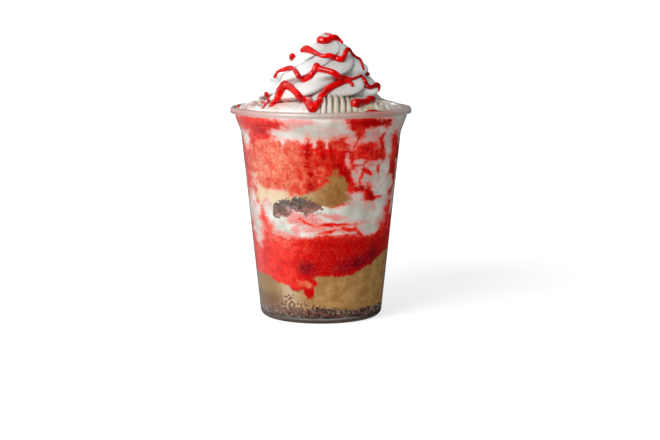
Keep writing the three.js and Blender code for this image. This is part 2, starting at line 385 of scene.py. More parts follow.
class Finish(Nodes):
    """A material with one shader, and the nodes that are added to it."""

    def __init__(self, name, **constants):
        self.material = bpy.data.materials.new(name)
        self.material.use_nodes = True
        super().__init__(self.material.node_tree)
        self.output = self.tree.nodes.new("ShaderNodeOutputMaterial")
        self.shader = self.tree.nodes.new("ShaderNodeBsdfPrincipled")
        self.seen = self.shader.outputs[0]
        self.tree.links.new(self.seen, self.output.inputs["Surface"])
        for socket, value in constants.items():
            self.set(self.shader.inputs[socket.replace("_", " ")], value)

    def use(self, pattern, **inputs):
        """The outputs of a shared pattern."""
        group = self.tree.nodes.new("ShaderNodeGroup")
        group.node_tree = pattern.tree
        for socket, value in inputs.items():
            self.set(group.inputs[socket], value)
        return {socket.name: Field(self, socket) for socket in group.outputs}

    def colour(self, value):
        self.set(self.shader.inputs["Base Color"], value)

    def roughness(self, value):
        self.set(self.shader.inputs["Roughness"], value)

    def bumps(self, height, depth):
        """Small relief: height from 0 to 1 stands for depth millimetres."""
        inputs = {"Height": height, "Distance": depth * MM, "Strength": 1.0}
        self.set(self.shader.inputs["Normal"], self.node("ShaderNodeBump", {}, inputs, "Normal"))

    def clouds(self, share, colour):
        """Mixes in that share of a plain pale surface."""
        cloudy = self.node("ShaderNodeBsdfPrincipled", {}, {"Base Color": colour, "Roughness": 0.4})
        self.seen = self.node("ShaderNodeMixShader", {}, (share, Field(self, self.seen), cloudy)).socket
        self.tree.links.new(self.seen, self.output.inputs["Surface"])

    def lets_light_in(self):
        """Light on its way to what lies behind passes straight through, as through thin clear plastic."""
        seen = self.seen
        for ray in ("Is Diffuse Ray", "Is Shadow Ray"):
            passing = self.node("ShaderNodeLightPath", output=ray)
            clear = self.node("ShaderNodeBsdfTransparent")
            seen = self.node("ShaderNodeMixShader", {}, (passing, Field(self, seen), clear)).socket
        self.tree.links.new(seen, self.output.inputs["Surface"])


# ---- What shows through the wall -------------------------------------------------------------------

# Strokes that paint the front half of the wall and, once more, the back half. Each is given as the
# camera sees it in its picture, by the pixels across and down where it starts and ends and by half its
# breadth, and then keeps its place on the wall in any view.

# sauce and fruit above the line of the lower sauce
RED = [
    (284, 183, 316, 190, 10), (238, 117.5, 272, 120.5, 3.5), (238, 121, 268, 124, 6.5),
    (250, 124, 281, 126, 6), (257, 121, 259, 160, 10), (248, 143, 251, 192, 3.2), (252, 182, 259, 204, 3.2),
    (266, 199, 265, 212, 1.7), (267, 206, 255, 218, 2.2), (260, 213, 274, 232, 3), (345, 121, 388, 123, 5),
    (380, 122, 391, 123, 4.2), (350, 127, 371, 127, 3.6), (360, 122, 360, 139, 4.5),
    (395, 132, 392.5, 160, 3.6), (393, 155, 388.5, 194, 3.8), (381, 132, 384, 152, 3),
    (363.5, 156, 362.5, 169, 1.1), (377.5, 156, 378, 173, 1.3), (350, 146, 349, 165, 0.8),
    (361, 133, 351, 151, 1), (355, 147, 380, 147, 5.5), (298, 147, 346, 148.5, 5.5),
    (308, 139, 308, 156, 3), (320.5, 139, 320.5, 156, 2.4), (330, 144, 337, 172, 5),
    (334, 158, 351, 184, 5.5), (345, 172, 352, 194, 5), (312, 194, 333, 170, 7),
    (318, 203.5, 343, 203.5, 1.8), (354, 188, 349, 198, 1.3), (346, 167, 357, 171, 3),
    (365, 167, 357.5, 183, 1.2), (358, 180, 359, 188, 1.7), (362, 167.5, 371, 175, 1.6),
    (351, 188.5, 367, 189, 2.8), (367, 184, 370, 206, 3.8), (366, 199, 381, 196, 2),
    (388, 198, 382, 228, 3), (387, 206, 380, 240, 4.5), (299, 219, 316, 227, 0.9),
    (316, 226, 352, 223, 1.5), (317, 235, 341, 228.5, 1.1), (338, 228.5, 360, 229.5, 1.6),
    (352, 226, 364, 237, 1.4),
]
# cream that also stops the upper cheesecake
WHITE_LOW = [
    (344, 210, 384, 214, 9), (265, 199, 277, 226, 5.5), (251.5, 188, 257.5, 206, 2.8),
    (257, 202, 262, 214, 2.6), (255, 205, 261, 244, 5), (274, 220, 292, 238, 5),
]
# cream over the red
WHITE = [
    (352, 161.5, 366, 161.5, 2.4), (326, 136, 326.5, 149, 1.6), (347, 155, 349.5, 168, 2.2),
    (389, 129, 398, 127, 2.6), (270, 133, 306, 137, 6), (281, 124, 346, 122, 6.5),
    (304, 133, 346, 130, 7.5), (242, 127, 250, 148, 3.4), (282.6, 138, 282.6, 147, 1.8),
    (314.5, 134, 314.5, 150, 2), (368, 131, 388, 130, 4.4), (360, 140.5, 381, 134.5, 3.6),
    (388.8, 126, 388.8, 157, 3.2), (387, 152, 385, 180, 3.2), (354, 170, 357.5, 186, 2.2),
    (345, 141, 357, 138.5, 4.2), (374, 181, 392, 182, 7), (381, 166, 385, 204, 4),
    (348, 199, 359, 199, 5.5), (364, 163.5, 383, 162.5, 3.4),
] + WHITE_LOW
# the darkest sauce
DEEP = [
    (248, 124, 272, 125.5, 1), (252, 129, 274, 130, 1.1), (307.5, 141, 308, 164, 3),
    (321, 141, 321.5, 160, 2.2), (321, 151, 327, 162, 2.4), (331, 146, 336, 174, 3.6),
    (330, 164, 345, 167, 3.6), (339, 165, 351, 185, 4.6), (302, 166, 315, 168.5, 1),
    (316.5, 166.5, 319.5, 166.5, 1.4), (307, 174, 315, 175, 2.6), (346, 122, 394, 122.5, 4),
    (398, 132, 394, 174, 1.7), (393, 163, 389, 194, 2.2), (356, 187, 364, 188.5, 1.9),
    (368, 188, 370, 206, 2.8), (350, 147, 349, 165, 0.8), (297, 267, 318, 269, 8), (336, 267, 377, 256, 7),
    (364, 263, 378, 248, 6), (313, 181, 309, 198, 4.5),
]
# crushed strawberries
FRUIT = [
    (249, 160, 302, 160, 17), (258, 146, 304, 150, 9), (266, 141, 296, 143, 5), (283, 165, 322, 172, 15),
    (254, 168, 288, 184, 10), (283, 178, 316, 187, 7.5), (318, 160, 332, 182, 10),
    (326, 139, 348, 147, 6.5), (262, 174, 290, 187, 6), (286, 178, 291, 189, 3), (287, 191, 314, 189, 5),
    (311, 186, 329, 171, 5.5),
]
# smears of the upper cheesecake
BEIGE = [
    (258, 175, 266, 192, 3.6), (254, 181, 277, 195, 7), (266, 190, 294, 196, 4.6),
    (284, 194, 306, 195, 2.7), (320, 197, 335.5, 173, 5), (336, 177, 343, 191, 4),
    (318, 198, 347, 197, 6.5), (325, 190, 346, 189, 7), (322, 202, 340, 202.5, 2.4),
    (304, 200.5, 315, 200.5, 2.5),
]
# crumbs of the upper crust
CRUMB = [
    (277, 206, 299, 205.5, 5.5), (289, 202, 311, 204, 5), (303, 209, 318, 209, 4),
    (305, 206, 321, 208.5, 4.6), (275, 213, 282, 216, 2.5), (291, 199, 299, 200, 1.8),
]
# cream that sauce has tinged
PINK = [
    (291, 227, 302, 231, 4.5), (347, 152, 350, 170, 3.2), (266, 120, 316, 125, 5), (300, 227, 350, 231, 5),
    (268, 232, 300, 236, 4), (250, 214, 257, 238, 3.5), (288, 216, 306, 222, 6), (262, 120, 274, 123, 2.4),
    (280, 120, 304, 122, 3.5), (345, 138, 353, 151, 4.4), (371, 141, 382, 137, 3.2),
    (363, 163, 374, 166, 4.4), (319, 214, 347, 220, 3.4), (287, 216, 330, 223, 6),
    (260, 225, 272, 236, 5.5), (278, 236, 306, 238, 3.5), (276, 205, 283, 214, 4), (286, 212, 296, 224, 4),
    (292, 217, 308, 218, 5), (366, 136, 384, 133, 5), (352, 146, 356, 166, 3),
]
# cream smeared over the upper crust
SMEAR = [
    (290, 218, 308, 217, 5), (270.5, 198, 271.5, 216, 2.6),
]
# sauce that has run into the cheesecake
RED_LOW = [
    (252, 170, 256, 192, 3.4), (270, 270, 304, 285, 5.5), (307, 283, 311, 298, 4.2),
    (296, 281, 317, 284, 6), (276, 275, 300, 282, 5),
]
# cheesecake that has risen into the sauce
BEIGE_LOW = [
    (318, 288, 356, 283, 5),
]
# thin sauce over the lower cheesecake
SALMON_LOW = [
    (295, 281, 313, 286, 3.8),
]

WALL_SCALE = 42  # millimetres round the cup to a radian, in the pattern on the wall
FILLINGS_DEPTH = 0.7  # how far behind the outside of the wall the fillings are seen
PIXEL = 0.541  # millimetres that a pixel takes in at the front of the cup
SLANTED_MOST = 0.35  # no stroke is stretched further than where the wall shows this share of its width
SIGHT_STEPS = np.arange(800, 960, 0.1)  # distances from the camera, from before the cup to past its middle


def on_wall(column, row):
    """Azimuth, height and radius of the fillings at a pixel, or beside it where it misses the cup."""
    forward = np.subtract(AIM, EYE)
    forward = forward / np.linalg.norm(forward)
    right = np.array((1, 0, 0))
    across, down = (np.array((column, row)) - np.array(PICTURE) / 2) * SENSOR / LENS / PICTURE[0]
    sight = forward + right * across - np.cross(right, forward) * down
    x, y, z = (EYE + SIGHT_STEPS[:, None] * sight).T
    outside = np.hypot(x, y) - (outer_radius(z) - FILLINGS_DEPTH)
    hit = np.argmax(outside <= 0) if np.any(outside <= 0) else np.argmin(outside)
    return math.atan2(x[hit], -y[hit]), z[hit], math.hypot(x[hit], y[hit])


def oval(column_1, row_1, column_2, row_2, half_breadth):
    """The oval on the wall that a stroke stands for.

    It is an azimuth in whole degrees, a height, half a length and half a width in millimetres, and the
    tilt of the length from level in tens of degrees.
    """
    azimuth_1, height_1, radius_1 = on_wall(column_1, row_1)
    azimuth_2, height_2, radius_2 = on_wall(column_2, row_2)
    run, rise = (azimuth_2 - azimuth_1) * WALL_SCALE, height_2 - height_1
    slope = math.atan2(rise, run)
    azimuth, radius = (azimuth_1 + azimuth_2) / 2, (radius_1 + radius_2) / 2
    stretch = WALL_SCALE / (radius * max(SLANTED_MOST, math.cos(azimuth)))
    half_width = half_breadth * PIXEL * (abs(math.sin(slope)) * stretch + abs(math.cos(slope)))
    tilt = (round(math.degrees(slope) / 10) * 10 + 90) % 180 - 90
    height, half_length = (height_1 + height_2) / 2, math.hypot(run, rise) / 2
    return round(math.degrees(azimuth)), round(height, 1), round(half_length, 1), round(half_width, 1), tilt


class Wall(Pattern):
    """The colours of all that lies against the wall.

    Bar and Crust are 1 on the pieces that are cheesecake or crumbs wherever nothing is smeared on them.
    """

    def __init__(self):
        given = {"Bar": "NodeSocketFloat", "Crust": "NodeSocketFloat"}
        super().__init__("fillings", given, {"Colour": "NodeSocketColor", "Relief": "NodeSocketFloat"})
        self.here = self.spot()
        loose = self.noise(self.here, 8, detail=2, output="Color")
        ragged = self.noise(self.here, 2.2, detail=3, rough=0.6, output="Color")
        drift = self.vector("MULTIPLY_ADD", loose, (2, 2, 2), (-1, -1, -1))
        fray = self.vector("MULTIPLY_ADD", ragged, (2.2, 2.2, 2.2), (-1.1, -1.1, -1.1))
        self.at = self.vector("ADD", self.here, self.vector("ADD", drift, fray))
        x, y, self.z = self.parts(self.at)
        self.azimuth = x.maths("ARCTAN2", -y)
        self.half_turn = self.azimuth.maths("WRAP", math.pi / 2, -math.pi / 2)
        self.tilted = self.turned_back()
        # the pattern comes twice round the cup, so what leans to one side dies away where the two meet
        self.inward = ease(math.pi / 2 - abs(self.half_turn), 0, 0.4)
        self.rightward = ease(self.half_turn, -0.75, 0.25) * self.inward

        # how far inside the sauce a point lies, and its share of sauce
        lower = (sauce_top(self.azimuth) - self.z) * 0.7
        upper = least(self.z - cream_top(self.azimuth), upper_sauce_top(self.azimuth) - self.z) * 0.7
        self.mash = self.painted(FRUIT)
        sauce = most(most(lower, upper), most(self.mash, self.painted(RED)))
        self.sauce = least(sauce, -1 * self.painted(WHITE))
        self.streaks = self.noise(self.at, 5, detail=4, rough=0.62, stretch=(0.7, 0.7, 1.5))
        wisps = self.noise(self.at, 3.4, detail=3, rough=0.55, stretch=(0.6, 0.6, 1.6))
        self.body = self.noise(self.here, 4.5, detail=4, rough=0.6)
        self.fine = self.noise(self.here, 1.6, detail=3, rough=0.6)
        self.feather = (self.streaks - 0.5) * 3.2 + (self.fine - 0.5)
        share = ease(self.sauce + self.feather, -1.4, 1.4)
        vein = (1 - ease(abs(wisps - 0.5), 0.0, 0.03)) * ease(self.sauce, -2.6, -0.3)
        self.share = most(share, vein * ease(self.noise(self.here, 13, detail=1), 0.5, 0.62) * 0.6)

    def turned_back(self):
        """For each tilt of a stroke, the places on the wall turned back by it."""
        flat = self.node("ShaderNodeCombineXYZ", {}, (self.half_turn * WALL_SCALE, self.z, 0))
        places = {}
        for tilt in range(-90, 90, 10):
            cos, sin = math.cos(math.radians(tilt)), math.sin(math.radians(tilt))
            level = self.vector("DOT_PRODUCT", flat, (cos, sin, 0), output="Value")
            upright = self.vector("DOT_PRODUCT", flat, (-sin, cos, 0), output="Value")
            places[tilt] = self.node("ShaderNodeCombineXYZ", {}, (level, upright, 0))
        return places

    def painted(self, strokes):
        """Above 0 inside any of the strokes and below 0 outside; sharper the finer the stroke."""
        inside = None
        for stroke in strokes:
            azimuth, height, half_length, half_width, tilt = oval(*stroke)
            cos, sin = math.cos(math.radians(tilt)), math.sin(math.radians(tilt))
            across = math.radians(azimuth) * WALL_SCALE
            level, upright = across * cos + height * sin, height * cos - across * sin
            shrink = (1 / half_length, 1 / half_width, 0)
            moved = (-level / half_length, -upright / half_width, 0)
            away = self.vector("MULTIPLY_ADD", self.tilted[tilt], shrink, moved)
            length = self.vector("LENGTH", away, output="Value")
            least_half = min(half_length, half_width)
            steep = least_half / (0.35 * least_half + 0.4)
            depth = length.maths("MULTIPLY_ADD", -steep, steep)
            inside = depth if inside is None else most(inside, depth)
        return inside

    @cached_property
    def clouds(self):
        return self.noise(self.here, 9, detail=2)

    @cached_property
    def runs(self):
        """Streaks that run down the wall."""
        return self.noise(self.here, 3.2, detail=3, rough=0.6, stretch=(1, 1, 0.4))

    @cached_property
    def specks(self):
        return self.noise(self.here, 1.3, detail=2)

    @cached_property
    def pulp_tone(self):
        return self.noise(self.at, 4.2, detail=4, rough=0.58)

    def cream(self):
        """White, with pink where sauce has tinged it and painted shade towards the right."""
        z, mix = self.z, self.mix
        cream = mix(ease(self.clouds, 0.34, 0.66), linear(234, 238, 229), linear(202, 203, 190))
        # painted shade: the cream grows darker towards the right
        shaded = ease(self.half_turn, -0.1, 0.4) * ease(1.1 - self.half_turn, 0.1, 0.6)
        cream = mix(shaded * 0.4, cream, linear(170, 156, 142))
        haze = ease(self.painted(PINK) + self.feather * 1.5, -0.6, 1.2) * 0.85
        blush = ease(self.sauce + self.feather * 1.6, -3.2, 0.2) * 0.5
        cream = mix(most(haze, blush), cream, linear(238, 148, 142))
        wisps = self.noise(self.at, 2.8, detail=3, rough=0.55, stretch=(0.7, 0.7, 1.3))
        threads = 1 - ease(abs(wisps - 0.5), 0.0, 0.05)
        return mix(threads * haze * (0.2 + 0.4 * ease(72 - z, 0, 6)), cream, linear(210, 60, 64))

    def milky_sauce(self):
        """Red, streaked above and milky towards the cream over it."""
        z, mix = self.z, self.mix
        red = mix(ease(self.body, 0.36, 0.64), linear(226, 8, 8), linear(254, 54, 36))
        above = ease(z, 60, 66)
        red = mix(ease(self.runs, 0.5, 0.66) * above * 0.7, red, linear(186, 0, 8))
        red = mix(ease(self.runs, 0.46, 0.3) * above * 0.45, red, linear(236, 100, 78))
        curdling = ease(self.noise(self.here, 6, detail=4, rough=0.65), 0.38, 0.6)
        milky = ease(z - sauce_top(self.azimuth), -13, -1) * curdling
        milky = milky * (0.5 + 0.6 * ease(self.specks, 0.45, 0.62)) * ease(61.6 - z, 0, 2)
        return mix(milky * (1.1 - self.rightward) * 0.75, red, linear(248, 118, 98))

    def pulp(self):
        """Crushed fruit: soft salmon with redder seams and a few dark specks."""
        mix = self.mix
        pulp = mix(ease(self.pulp_tone, 0.34, 0.62), linear(236, 94, 66), linear(243, 152, 120))
        richer = mix(ease(self.pulp_tone, 0.4, 0.68), linear(204, 24, 16), linear(230, 92, 64))
        patches = ease(self.noise(self.here, 7, detail=2), 0.48, 0.64)
        richly = most(most(self.rightward * 1.8, ease(82 - self.z, 0, 7) * 0.6), patches * 0.5)
        pulp = mix(richly * (0.3 + 0.7 * ease(self.body, 0.3, 0.6)), pulp, richer)
        for size, width, strength in ((5.2, 0.03, 0.7), (2.3, 0.035, 0.5)):
            seam = 1 - ease(abs(self.noise(self.at, size, detail=3, rough=0.6) - 0.5), 0.0, width)
            pulp = mix(seam * strength, pulp, linear(206, 34, 24))
        return mix(ease(self.specks, 0.62, 0.7) * 0.45, pulp, linear(150, 44, 22))

    def sauce_and_fruit(self):
        z, mix, body = self.z, self.mix, self.body
        red, pulp = self.milky_sauce(), self.pulp()
        fruit = ease(self.mash + (body - 0.5) * 4, -0.5, 0.7)
        red = mix(fruit * 0.95, red, pulp)
        clean = ease(self.half_turn, -0.45, 0.1) * ease(50 - z, 0, 6) * self.inward
        red = mix(clean * 0.8, red, linear(184, 0, 4))
        upward = ease(z, 39.6, 49.6)
        deep = self.painted(DEEP) + (body - 0.5) * 4
        streaked = ease(deep, -0.6, 1.0) * upward * (0.6 + 0.4 * ease(self.runs, 0.38, 0.56))
        darkest = mix(upward, linear(116, 0, 22), linear(176, 0, 4))
        red = mix(most(streaked, ease(deep, -1.4, 2.4)), red, darkest)
        red = mix(ease(self.fine, 0.42, 0.62) * (1 - fruit) * 0.3, red, linear(140, 0, 6))
        red = mix(ease(self.specks, 0.48, 0.64) * (1 - upward) * 0.14, red, linear(240, 84, 72))
        pips = 1 - ease(self.cells(self.here, 1.3), 0.08, 0.24)
        red = mix(pips * ease(body, 0.42, 0.58) * 0.5, red, linear(150, 40, 24))
        red = mix(ease(20.5 - z, 0, 3) * 0.8, red, linear(184, 6, 4))
        return mix(ease(self.share, 0.2, 0.85), linear(240, 140, 128), red)

    def baked(self):
        """Cheesecake with fine pores, lighter on the left and browner on the right, with painted shade low
        down on the left and a patch of painted light left of the front.
        """
        z, mix, half_turn = self.z, self.mix, self.half_turn
        beige = mix(ease(self.clouds, 0.35, 0.65), linear(224, 196, 152), linear(236, 214, 178))
        brown = mix(ease(self.body, 0.35, 0.65), linear(154, 106, 50), linear(186, 142, 82))
        low_down = ease(41.6 - z, 0, 4)
        beige = mix(low_down * 0.9, beige, linear(172, 134, 90))
        # painted shade: the lower cheesecake darkens on the left, most in the bottom corner
        leftward = ease(-1 * half_turn, 0.5, 0.85) * self.inward
        beige = mix(low_down * leftward * 0.7, beige, linear(138, 102, 56))
        corner = ease(-1 * half_turn, 0.5, 0.8) * self.inward * ease(18 - z, 0, 5)
        beige = mix(corner * 0.8, beige, linear(108, 74, 38))
        # painted light: a paler patch low down, left of the front
        painted_light_patch = low_down * bump(half_turn, -28, 9) * ease(28 - z, 0, 8)
        beige = mix(painted_light_patch * 0.6, beige, linear(222, 200, 170))
        brown = mix((1 - low_down) * 0.5, brown, linear(138, 80, 34))
        beige = mix(self.rightward * (1 - 0.2 * low_down), beige, brown)
        beige = mix(ease(self.fine, 0.5, 0.72) * 0.35, beige, linear(166, 128, 80))
        pores = 1 - ease(self.cells(self.here, 1.5), 0.05, 0.18)
        return mix(pores * 0.45, beige, linear(120, 84, 48))

    def with_cheesecake(self, colour):
        bar, beige = self.given["Bar"], self.baked()
        foot = least(cheesecake_top(self.azimuth) - self.z, -2 * self.painted(RED_LOW))
        foot = most(foot, self.painted(BEIGE_LOW))
        free = least(-1 * self.mash, -1 * self.painted(RED_LOW + WHITE_LOW))
        lump = most(self.painted(BEIGE) + 0.4, bar * 4 - 2)
        cake = most(foot * 0.8, least(lump, free + 0.9 - bar))
        share = ease(cake + (self.fine - 0.5) * 1.4 + (self.body - 0.5) * 2.4, -0.7, 0.7)
        salmon = ease(self.painted(SALMON_LOW), -0.2, 0.8) * ease(self.pulp_tone, 0.4, 0.6)
        colour = self.mix(salmon * 0.8, colour, linear(236, 140, 92))
        return self.mix(share, colour, beige)

    def with_crumbs(self, colour):
        """Crumbs over the colour, dark in the crust and greyer where they climb the wall, with a painted
        reflection that lightens them low down on the left.
        """
        z, mix, body, half_turn = self.z, self.mix, self.body, self.half_turn
        dark, warm, pick_one = self.parts(self.cells(self.here, 1.05, output="Color"))
        crumb = mix(ease(dark, 0.1, 0.9), linear(54, 34, 24), linear(108, 82, 68))
        crumb = mix(ease(warm, 0.66, 0.8) * 0.55, crumb, linear(168, 150, 138))
        crumb = mix(ease(pick_one, 0.84, 0.9) * 0.7, crumb, linear(140, 72, 58))
        crumb = mix(ease(self.fine, 0.5, 0.7) * 0.5, crumb, linear(46, 32, 30))
        crust = least(self.given["Crust"] * 3 - 2, -2 * self.painted(SMEAR))
        crusty = most(self.painted(CRUMB), crust)
        bluish = ease(crusty, -0.5, 0.5) * ease(z, 30, 34)
        smoky = mix(ease(z, 60, 65), linear(150, 92, 82), linear(118, 92, 86))
        smoky = mix(ease(body, 0.48, 0.58) * ease(z, 60, 64), smoky, linear(92, 98, 92))
        crumb = mix(bluish * (0.25 + 0.4 * ease(body, 0.4, 0.6)), crumb, smoky)
        creamed = bluish * ease(self.streaks, 0.49, 0.62) * ease(66 - z, 0, 6)
        crumb = mix(creamed * 0.8, crumb, linear(226, 176, 172))
        crumb = mix(bluish * ease(half_turn, -0.3, -0.12) * 0.5, crumb, linear(134, 74, 56))
        climb = 11 * bump(half_turn, -30, 24)
        # painted reflection: the crumbs low down on the left are lighter
        painted_reflection = ease(-1 * half_turn, 0.0, 0.45) * self.inward * ease(z, 3, 9) * ease(26 - z, 0, 6)
        crumb = mix(painted_reflection * 0.45, crumb, linear(140, 104, 82))
        bed = (crumb_top(self.azimuth) + climb * pick_one * pick_one - z) * 0.8
        share = most(bed, crusty) + (dark - 0.5) * 1.2 + (body - 0.5) * 2
        return mix(ease(share, -0.35, 0.3), colour, crumb)

    def colour(self):
        cream = self.cream()
        colour = self.mix(ease(self.share, 0.0, 0.5), cream, self.sauce_and_fruit())
        return self.with_crumbs(self.with_cheesecake(colour))


def fillings_pattern():
    wall = Wall()
    wall.gives(Colour=wall.colour(), Relief=wall.body)
    return wall


def filling_finish(name, pattern, bar=0.0, crust=0.0, roughness=0.5):
    finish = Finish(name, Roughness=roughness, IOR=1.4, Specular_IOR_Level=0.0)
    made = finish.use(pattern, Bar=bar, Crust=crust)
    finish.colour(made["Colour"])
    finish.bumps(made["Relief"], 0.25)
    return finish


def plastic_finish():
    """Clear plastic, cloudy where it is rolled into the lip and where it stands on its foot. The cloud
    carries painted light from the fillings behind the lip and painted shade on the foot.
    """
    finish = Finish(
        "clear_plastic", Base_Color=(0.95, 0.955, 0.95), IOR=1.45, Transmission_Weight=1.0,
        Specular_IOR_Level=0.3,
    )
    x, y, z = finish.parts(finish.spot())
    azimuth = x.maths("ARCTAN2", -y)
    lip, foot = ease(z, 110, 111), ease(2.4 - z, 0, 1)
    finish.roughness(0.035 + 0.25 * most(lip, foot))
    # painted light: the lip's cloud takes the colours of the fillings that show through it, pink and red
    # before the sauce pools and pale before the cream, and is darker along the top of the curl and in a line
    # below it
    painted_see_through_tone = finish.mix(bump(azimuth, -62, 34), linear(190, 178, 168), linear(208, 146, 140))
    painted_see_through_tone = finish.mix(bump(azimuth, 42, 26), painted_see_through_tone, linear(190, 104, 98))
    painted_see_through_tone = finish.mix(bump(azimuth, 68, 16) * 0.8, painted_see_through_tone, linear(208, 202, 194))
    painted_see_through_tone = finish.mix(ease(z, 113.2, 113.9) * 0.7, painted_see_through_tone, linear(150, 118, 112))
    painted_see_through_tone = finish.mix(bell((z - 111.6) * 3) * 0.6, painted_see_through_tone, linear(150, 118, 112))
    # painted shade on the foot, under the crumbs
    painted_see_through_tone = finish.mix(foot, painted_see_through_tone, linear(150, 122, 102))
    finish.clouds(most(lip * 0.4, foot * 0.4), painted_see_through_tone)
    finish.lets_light_in()
    return finish


def whipped_finish():
    finish = Finish(
        "whipped_cream", Roughness=0.45, IOR=1.4, Subsurface_Weight=0.25,
        Subsurface_Radius=(1.0, 0.85, 0.7), Subsurface_Scale=1.6 * MM,
    )
    noise_at, mix = finish.noise, finish.mix
    spot = finish.spot()
    x, y, z = finish.parts(spot)
    azimuth = x.maths("ARCTAN2", -y)
    radius = (x * x + y * y).maths("SQRT")
    clouds = noise_at(spot, 16, detail=2)
    colour = mix(ease(clouds, 0.35, 0.7), linear(238, 239, 238), linear(228, 230, 229))
    side = azimuth.maths("SINE")
    # painted light: the cream is lighter on its left, where the key light falls
    colour = mix(ease(-1 * side, 0.1, 0.78) * 0.6, colour, linear(252, 252, 250))
    # painted shade: grey in the folds and under the coils' ledges, from the fold attribute, stronger towards
    # the right
    fold = finish.node("ShaderNodeAttribute", {"attribute_name": "fold"}, output="Fac")
    colour = mix(fold * (0.1 + 0.65 * ease(side, -0.84, 0.3)), colour, linear(168, 170, 166))
    swirled = ease(z, 117, 122)
    # painted shade on the front right: tan on the skirt below the swirl and grey on the swirl itself
    colour = mix(bump(azimuth, 16, 26) * (1 - swirled) * 0.35, colour, linear(168, 160, 144))
    colour = mix(bump(azimuth, 18, 40) * swirled * 0.8, colour, linear(176, 172, 166))
    tinged = bump(azimuth, -37, 11) * bell((z - 118) / 4) * ease(radius, 22, 27)
    colour = mix(tinged * 0.5, colour, linear(240, 150, 118))
    # the skirt is creamier in patches, with painted shade in its grooves, between its curds and under the
    # swirl
    low = ease(radius, 27, 33) * ease(122 - z, 0, 3)
    creamy = ease(noise_at(spot, 7, detail=3), 0.35, 0.65) * (0.3 + 0.6 * ease(side, -0.1, 0.48))
    colour = mix(low * creamy, colour, linear(202, 186, 164))
    smear = bump(azimuth, 32, 20) * ease(noise_at(spot, 4, detail=3, rough=0.6), 0.42, 0.56)
    colour = mix(low * smear * 0.8, colour, linear(176, 164, 128))
    # painted shadow of the swirl on the tops of the ribs at the front right
    painted_swirl_shadow = ease(radius, 27, 31) * ease(39 - radius, 0, 3) * ease(123 - z, 0, 2) * bump(azimuth, 20, 22)
    colour = mix(painted_swirl_shadow * 0.7, colour, linear(150, 130, 100))
    # painted shade on the skirt at the front right
    colour = mix(low * bump(azimuth, 14, 16) * 0.4, colour, linear(172, 162, 142))
    colour = mix(low * bump(azimuth, -64, 12) * 0.6, colour, linear(192, 142, 132))
    # painted shade in the grooves between the ribs
    painted_groove_shade = 1 - ease(skirt_rib(x, y), 0.2, 0.9)
    colour = mix(painted_groove_shade * low * ribbed(azimuth), colour, linear(122, 98, 64))
    # painted shade between the curds
    curds = 1 - ease(noise_at(spot, 3.6, detail=3, rough=0.6), 0.42, 0.56)
    colour = mix(curds * low * least(0.2 + curdled(azimuth), 1.0) * 0.6, colour, linear(150, 120, 104))
    finish.colour(colour)
    finish.bumps(noise_at(spot, 1.6, detail=3), 0.12)
    return finish


def drizzle_finish():
    finish = Finish(
        "sauce_drizzle", Roughness=0.14, IOR=1.4, Specular_IOR_Level=0.3,
        Coat_Weight=0.3, Coat_Roughness=0.03,
    )
    spot = finish.spot()
    body = finish.noise(spot, 4.5, detail=3)
    colour = finish.mix(ease(body, 0.38, 0.66), linear(186, 0, 2), linear(226, 8, 4))
    # painted shade: the sauce is darker towards the right
    x = finish.parts(spot)[0]
    finish.colour(finish.mix(ease(x, 8, 24) * 0.6, colour, linear(136, 0, 6)))
    return finish


# ---- The cup ---------------------------------------------------------------------------------------


def turned(name, profile, segments):
    """A closed solid of revolution: a disc, extruded ring by ring along the profile."""
    deselect()
    radius, height = profile[0]
    bpy.ops.mesh.primitive_circle_add(vertices=segments, radius=radius * MM, fill_type="NGON")
    piece = named(name)
    bpy.ops.object.mode_set(mode="EDIT")
    bpy.ops.mesh.select_all(action="SELECT")
    bpy.ops.transform.translate(value=(0, 0, height * MM))
    for r, z in profile[1:]:
        bpy.ops.mesh.extrude_region_move(TRANSFORM_OT_translate={"value": (0, 0, (z - height) * MM)})
        bpy.ops.transform.resize(value=(r / radius, r / radius, 1), center_override=(0, 0, z * MM))
        radius, height = r, z
    bpy.ops.mesh.select_all(action="SELECT")
    bpy.ops.mesh.normals_make_consistent(inside=False)
    bpy.ops.object.mode_set(mode="OBJECT")
    return piece


def cup_profile():
    curl_r = NECK_RADIUS - WALL + CURL_RADIUS
    curl_z = CUP_HEIGHT - CURL_RADIUS
    corner_r = FOOT_RADIUS + TAPER * CORNER - CORNER
    inner_z = FLOOR_TOP + CORNER - WALL
    inner_corner_r = outer_radius(inner_z) - CORNER
    shoulder = outer_radius(SHOULDER_Z)
    ring_r = FOOT_RING_INNER
    recess = [(1, FOOT_RECESS), (ring_r - 1.4, FOOT_RECESS), *arc(ring_r - 1.4, 1, 1, 90, 0, 5)]
    foot = [(ring_r - 0.2, 0.2), (ring_r + 0.1, 0)]
    outside = [*arc(corner_r, CORNER, CORNER, -90, 0, 10), (shoulder, SHOULDER_Z)]
    neck = [(NECK_RADIUS, NECK_Z), *arc(curl_r, curl_z, CURL_RADIUS - WALL, 180, 0, 12)]
    skirt = [(RIM_RADIUS - WALL, curl_z - CURL_DROP), (RIM_RADIUS - 0.15, curl_z - CURL_DROP - 0.1)]
    lip = [(RIM_RADIUS, curl_z - CURL_DROP + 0.1), *arc(curl_r, curl_z, CURL_RADIUS, 0, 180, 20)]
    inside = [(NECK_RADIUS - WALL, NECK_Z), (shoulder - WALL, SHOULDER_Z)]
    inside += [*arc(inner_corner_r, inner_z, CORNER - WALL, 0, -90, 8), (1, FLOOR_TOP)]
    return recess + foot + outside + neck + skirt + lip + inside


def make_cup(finish):
    cup = turned("cup_shell", cup_profile(), ROUND)
    return dressed(cup, "clear_plastic", finish, "cup")


# ---- The fillings ----------------------------------------------------------------------------------


